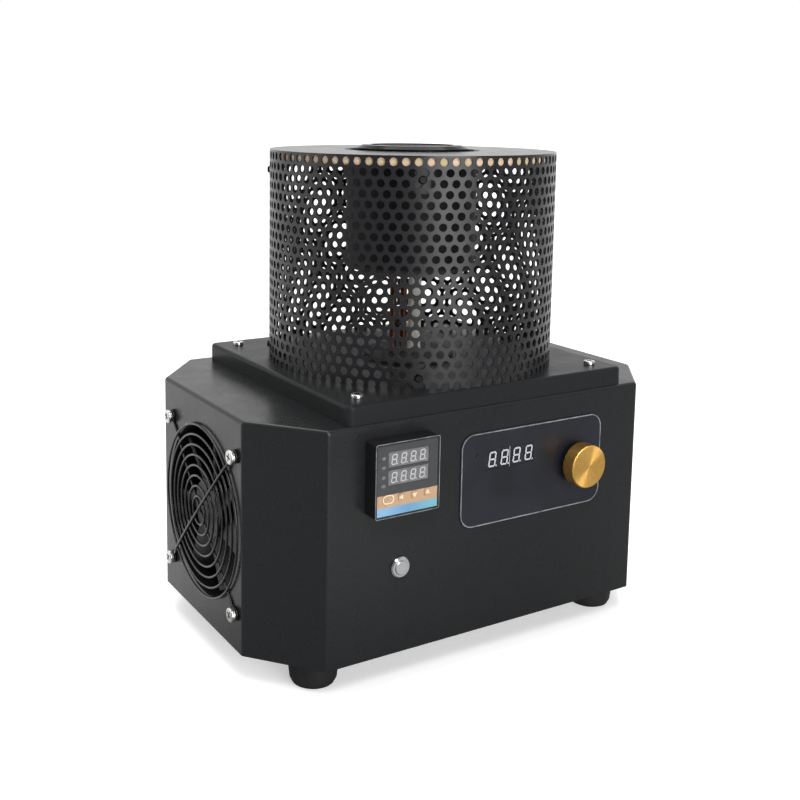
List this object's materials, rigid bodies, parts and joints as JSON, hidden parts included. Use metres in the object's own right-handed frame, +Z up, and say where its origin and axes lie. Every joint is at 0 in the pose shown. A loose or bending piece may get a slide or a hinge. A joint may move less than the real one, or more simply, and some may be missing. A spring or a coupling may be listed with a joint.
{
  "type": "electric gold melting furnace",
  "caption": "Bench-top induction melting furnace: an eight-sided black steel body with a fan, controller and gold knob, under a perforated cage that holds the coil and crucible.",
  "frame": {"origin": "on the floor, under the middle of the body", "axes": "+Z up; +X to the right along the front, away from the fan's side; the controls face -Y"},
  "size_m": [0.3366, 0.2384, 0.3448],
  "materials": {
    "housing_black": "satin powder coat",
    "cage_black": "satin powder coat",
    "disc_black": "satin",
    "collar_gloss": "glossy glaze",
    "jacket_dark": "smooth wound fibre",
    "insulating_board": "pressed fibre board",
    "ceramic": "fired ceramic",
    "graphite": "turned graphite",
    "copper": "drawn copper tube",
    "bright_steel": "zinc plated",
    "black_screws": "black oxide",
    "guard_wire": "plated wire",
    "fan_plastic": "moulded",
    "rubber_black": "moulded rubber",
    "controller_black": "fine moulded grain",
    "display_grey": "clear window over grey digits",
    "key_cream": "soft keys",
    "panel_film": "printed film",
    "knob_gold": "gold anodised, turned",
    "chrome": "polished",
    "button_satin": "satin",
    "circuit_board": "solder mask",
    "pot_body": "plated",
    "inlet_plastic": "moulded",
    "rocker_plastic": "polished moulding",
    "pin_brass": "plated brass",
    "sink_aluminium": "extruded",
    "component_black": "moulded"
  },
  "bodies": {
    "furnace": {"base_pan": "housing_black", "board_brackets": "cage_black", "board_standoffs": "bright_steel", "button_housing": "chrome", "button_nut": "bright_steel", "cage": "cage_black", "cage_brackets": "cage_black", "cage_screws": "black_screws", "ceramic_liner": "ceramic", "coil_base_board": "insulating_board", "coil_jacket": "jacket_dark", "coil_leads": "copper", "coil_terminals": "pin_brass", "control_panel": "panel_film", "controller_board": "circuit_board", "controller_case": "controller_black", "controller_clip": "controller_black", "controller_displays": "display_grey", "controller_face": "controller_black", "crucible_pad": "ceramic", "deck_plate": "housing_black", "deck_screws": "bright_steel", "deck_spacers": "bright_steel", "fan_frame": "fan_plastic", "fan_guard": "guard_wire", "fan_nuts": "bright_steel", "fan_screws": "bright_steel", "foot_nuts": "bright_steel", "foot_screws": "bright_steel", "heat_sinks": "sink_aluminium", "housing_shell": "housing_black", "induction_coil": "copper", "inlet_pins": "pin_brass", "lead_plate": "insulating_board", "mains_inlet": "inlet_plastic", "mouth_collar": "collar_gloss", "panel_board": "circuit_board", "panel_standoffs": "bright_steel", "potentiometer": "pot_body", "potentiometer_nut": "bright_steel", "power_board": "circuit_board", "power_display": "display_grey", "power_transistors": "component_black", "resonant_capacitors": "component_black", "rocker_frame": "inlet_plastic", "rubber_feet": "rubber_black", "shell_screws": "black_screws", "thermocouple_tube": "ceramic", "top_board": "insulating_board", "top_disc": "disc_black"},
    "knob": {"power_knob": "knob_gold", "potentiometer_shaft": "bright_steel"},
    "button": {"button_cap": "button_satin"},
    "rotor": {"fan_rotor": "fan_plastic"},
    "key_menu_body": {"key_menu": "key_cream"},
    "key_left_body": {"key_left": "key_cream"},
    "key_down_body": {"key_down": "key_cream"},
    "key_up_body": {"key_up": "key_cream"},
    "crucible_body": {"crucible": "graphite"},
    "rocker": {"rocker_switch": "rocker_plastic"}
  },
  "joints": [
    {"name": "knob_turn", "type": "hinge", "parent": "furnace", "child": "knob", "pos_m": [0.0703, -0.109, 0.1276], "axis": [0, 1, 0], "range_deg": [0, 300]},
    {"name": "button_press", "type": "slide", "parent": "furnace", "child": "button", "axis": [0, 1, 0], "range_m": [0, 0.0015], "stiffness_N_per_m": 400, "springref_m": -0.002},
    {"name": "key_menu_press", "type": "slide", "parent": "furnace", "child": "key_menu_body", "axis": [0, 1, 0], "range_m": [0, 0.00035], "stiffness_N_per_m": 600, "springref_m": -0.0005},
    {"name": "key_left_press", "type": "slide", "parent": "furnace", "child": "key_left_body", "axis": [0, 1, 0], "range_m": [0, 0.00035], "stiffness_N_per_m": 600, "springref_m": -0.0005},
    {"name": "key_down_press", "type": "slide", "parent": "furnace", "child": "key_down_body", "axis": [0, 1, 0], "range_m": [0, 0.00035], "stiffness_N_per_m": 600, "springref_m": -0.0005},
    {"name": "key_up_press", "type": "slide", "parent": "furnace", "child": "key_up_body", "axis": [0, 1, 0], "range_m": [0, 0.00035], "stiffness_N_per_m": 600, "springref_m": -0.0005},
    {"name": "fan_spin", "type": "hinge", "parent": "furnace", "child": "rotor", "pos_m": [-0.15, -0.003, 0.0995], "axis": [1, 0, 0], "continuous": true},
    {"name": "crucible_lift", "type": "slide", "parent": "furnace", "child": "crucible_body", "axis": [0, 0, 1], "range_m": [0, 0.12]},
    {"name": "rocker_tip", "type": "hinge", "parent": "furnace", "child": "rocker", "pos_m": [0.096, 0.106, 0.098], "axis": [1, 0, 0], "range_deg": [-20, 0]}
  ]
}
